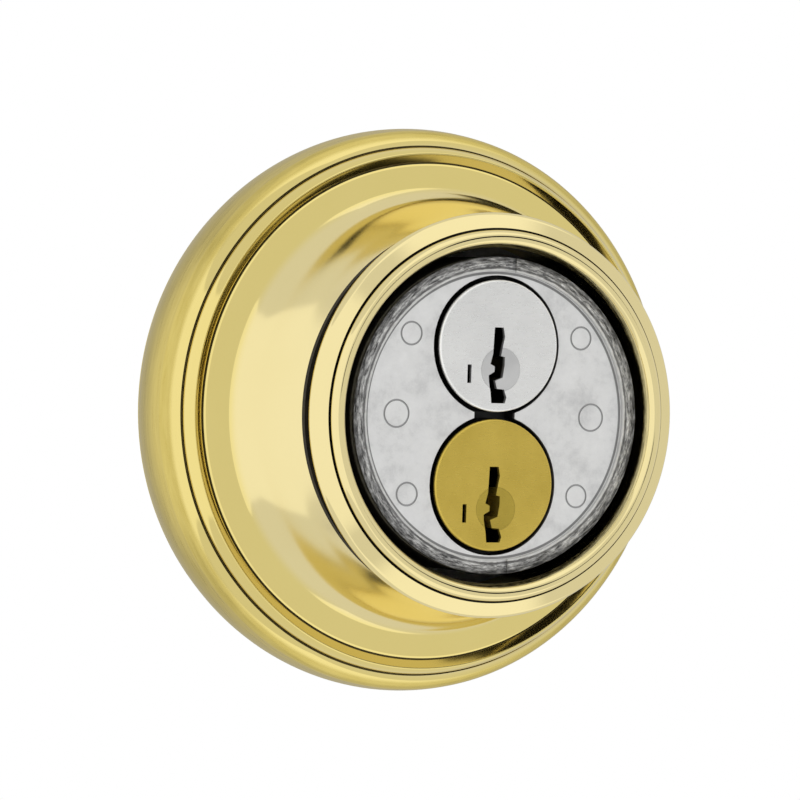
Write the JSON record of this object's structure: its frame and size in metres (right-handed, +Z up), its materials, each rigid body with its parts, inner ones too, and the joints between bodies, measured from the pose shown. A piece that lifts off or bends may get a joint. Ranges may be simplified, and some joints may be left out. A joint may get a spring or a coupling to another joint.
{
  "type": "deadbolt door lock",
  "caption": "Outside half of a double-keyway deadbolt: round polished brass trim, grey cast cylinder housing, a nickel and a brass key plug, gear train and tailpiece.",
  "frame": {"origin": "centre of the trim's back rim, in the plane of the door face", "axes": "+Y into the door along the lock's centre line, +Z up, +X to the right as seen from outside"},
  "size_m": [0.0666, 0.0895, 0.0666],
  "materials": {
    "polished_brass": "polished",
    "cast_zinc": "as cast",
    "satin_nickel": "satin",
    "satin_brass": "satin",
    "yellow_brass": "machined",
    "dark_brass": "satin",
    "hardened_steel": "ground",
    "plated_steel": "zinc plated",
    "spring_steel": "drawn",
    "moulded_plastic": "moulded"
  },
  "bodies": {
    "lock_body": {"outer_trim": "polished_brass", "trim_ring": "spring_steel", "cylinder_housing": "cast_zinc", "adapter_ring": "moulded_plastic", "gear_cover": "plated_steel", "cover_screws": "plated_steel"},
    "lower_plug_body": {"lower_plug": "satin_brass", "lower_plug_inserts": "dark_brass", "lower_plug_clip": "spring_steel", "lower_spring_cap": "plated_steel", "lower_rack_carrier": "cast_zinc", "lower_sidebar_springs": "spring_steel", "spring_lower_1": "spring_steel", "spring_lower_2": "spring_steel", "spring_lower_3": "spring_steel", "spring_lower_4": "spring_steel", "spring_lower_5": "spring_steel"},
    "lower_follower_body_1": {"follower_lower_1": "yellow_brass", "rack_lower_1": "yellow_brass"},
    "lower_follower_body_2": {"follower_lower_2": "yellow_brass", "rack_lower_2": "yellow_brass"},
    "lower_follower_body_3": {"follower_lower_3": "yellow_brass", "rack_lower_3": "yellow_brass"},
    "lower_follower_body_4": {"follower_lower_4": "yellow_brass", "rack_lower_4": "yellow_brass"},
    "lower_follower_body_5": {"follower_lower_5": "yellow_brass", "rack_lower_5": "yellow_brass"},
    "lower_sidebar_body": {"lower_sidebar": "yellow_brass"},
    "upper_plug_body": {"upper_plug": "satin_nickel", "upper_plug_inserts": "hardened_steel", "upper_plug_clip": "spring_steel", "upper_spring_cap": "plated_steel", "upper_rack_carrier": "cast_zinc", "upper_sidebar_springs": "spring_steel", "spring_upper_1": "spring_steel", "spring_upper_2": "spring_steel", "spring_upper_3": "spring_steel", "spring_upper_4": "spring_steel", "spring_upper_5": "spring_steel"},
    "upper_follower_body_1": {"follower_upper_1": "yellow_brass", "rack_upper_1": "yellow_brass"},
    "upper_follower_body_2": {"follower_upper_2": "yellow_brass", "rack_upper_2": "yellow_brass"},
    "upper_follower_body_3": {"follower_upper_3": "yellow_brass", "rack_upper_3": "yellow_brass"},
    "upper_follower_body_4": {"follower_upper_4": "yellow_brass", "rack_upper_4": "yellow_brass"},
    "upper_follower_body_5": {"follower_upper_5": "yellow_brass", "rack_upper_5": "yellow_brass"},
    "upper_sidebar_body": {"upper_sidebar": "yellow_brass"},
    "lower_gear_body": {"lower_drive_gear": "hardened_steel"},
    "upper_gear_body": {"upper_drive_gear": "hardened_steel"},
    "tailpiece_body": {"tailpiece_pinion": "hardened_steel", "tailpiece_blade": "plated_steel", "tailpiece_pin": "hardened_steel"}
  },
  "joints": [
    {"name": "lower_plug_turn", "type": "hinge", "parent": "lock_body", "child": "lower_plug_body", "pos_m": [0, 0, -0.00795], "axis": [0, 1, 0], "range_deg": [0, 90]},
    {"name": "lower_follower_1_lift", "type": "slide", "parent": "lower_plug_body", "child": "lower_follower_body_1", "axis": [0, 0, 1], "range_m": [0, 0.0023], "stiffness_N_per_m": 40, "springref_m": -0.002, "deforming": ["spring_lower_1"]},
    {"name": "lower_follower_2_lift", "type": "slide", "parent": "lower_plug_body", "child": "lower_follower_body_2", "axis": [0, 0, 1], "range_m": [0, 0.0023], "stiffness_N_per_m": 40, "springref_m": -0.002, "deforming": ["spring_lower_2"]},
    {"name": "lower_follower_3_lift", "type": "slide", "parent": "lower_plug_body", "child": "lower_follower_body_3", "axis": [0, 0, 1], "range_m": [0, 0.0023], "stiffness_N_per_m": 40, "springref_m": -0.002, "deforming": ["spring_lower_3"]},
    {"name": "lower_follower_4_lift", "type": "slide", "parent": "lower_plug_body", "child": "lower_follower_body_4", "axis": [0, 0, 1], "range_m": [0, 0.0023], "stiffness_N_per_m": 40, "springref_m": -0.002, "deforming": ["spring_lower_4"]},
    {"name": "lower_follower_5_lift", "type": "slide", "parent": "lower_plug_body", "child": "lower_follower_body_5", "axis": [0, 0, 1], "range_m": [0, 0.0023], "stiffness_N_per_m": 40, "springref_m": -0.002, "deforming": ["spring_lower_5"]},
    {"name": "lower_sidebar_slide", "type": "slide", "parent": "lower_plug_body", "child": "lower_sidebar_body", "axis": [1, 0, 0], "range_m": [-0.0008, 0]},
    {"name": "upper_plug_turn", "type": "hinge", "parent": "lock_body", "child": "upper_plug_body", "pos_m": [0, 0, 0.00795], "axis": [0, 1, 0], "range_deg": [-90, 0]},
    {"name": "upper_follower_1_lift", "type": "slide", "parent": "upper_plug_body", "child": "upper_follower_body_1", "axis": [0, 0, 1], "range_m": [0, 0.0023], "stiffness_N_per_m": 40, "springref_m": -0.002, "deforming": ["spring_upper_1"]},
    {"name": "upper_follower_2_lift", "type": "slide", "parent": "upper_plug_body", "child": "upper_follower_body_2", "axis": [0, 0, 1], "range_m": [0, 0.0023], "stiffness_N_per_m": 40, "springref_m": -0.002, "deforming": ["spring_upper_2"]},
    {"name": "upper_follower_3_lift", "type": "slide", "parent": "upper_plug_body", "child": "upper_follower_body_3", "axis": [0, 0, 1], "range_m": [0, 0.0023], "stiffness_N_per_m": 40, "springref_m": -0.002, "deforming": ["spring_upper_3"]},
    {"name": "upper_follower_4_lift", "type": "slide", "parent": "upper_plug_body", "child": "upper_follower_body_4", "axis": [0, 0, 1], "range_m": [0, 0.0023], "stiffness_N_per_m": 40, "springref_m": -0.002, "deforming": ["spring_upper_4"]},
    {"name": "upper_follower_5_lift", "type": "slide", "parent": "upper_plug_body", "child": "upper_follower_body_5", "axis": [0, 0, 1], "range_m": [0, 0.0023], "stiffness_N_per_m": 40, "springref_m": -0.002, "deforming": ["spring_upper_5"]},
    {"name": "upper_sidebar_slide", "type": "slide", "parent": "upper_plug_body", "child": "upper_sidebar_body", "axis": [-1, 0, 0], "range_m": [0, 0.0008]},
    {"name": "lower_gear_turn", "type": "hinge", "parent": "lock_body", "child": "lower_gear_body", "pos_m": [0, 0, -0.00795], "axis": [0, 1, 0], "range_deg": [0, 90]},
    {"name": "tailpiece_turn", "type": "hinge", "parent": "lock_body", "child": "tailpiece_body", "pos_m": [0, 0, 0], "axis": [0, 1, 0], "range_deg": [-90, 0]},
    {"name": "upper_gear_turn", "type": "hinge", "parent": "lock_body", "child": "upper_gear_body", "pos_m": [0, 0, 0.00795], "axis": [0, 1, 0], "range_deg": [0, 90]}
  ],
  "couplings": [
    {"joint": "lower_gear_turn", "follows": "lower_plug_turn", "ratio": 1},
    {"joint": "tailpiece_turn", "follows": "lower_plug_turn", "ratio": -1},
    {"joint": "upper_gear_turn", "follows": "lower_plug_turn", "ratio": 1}
  ]
}
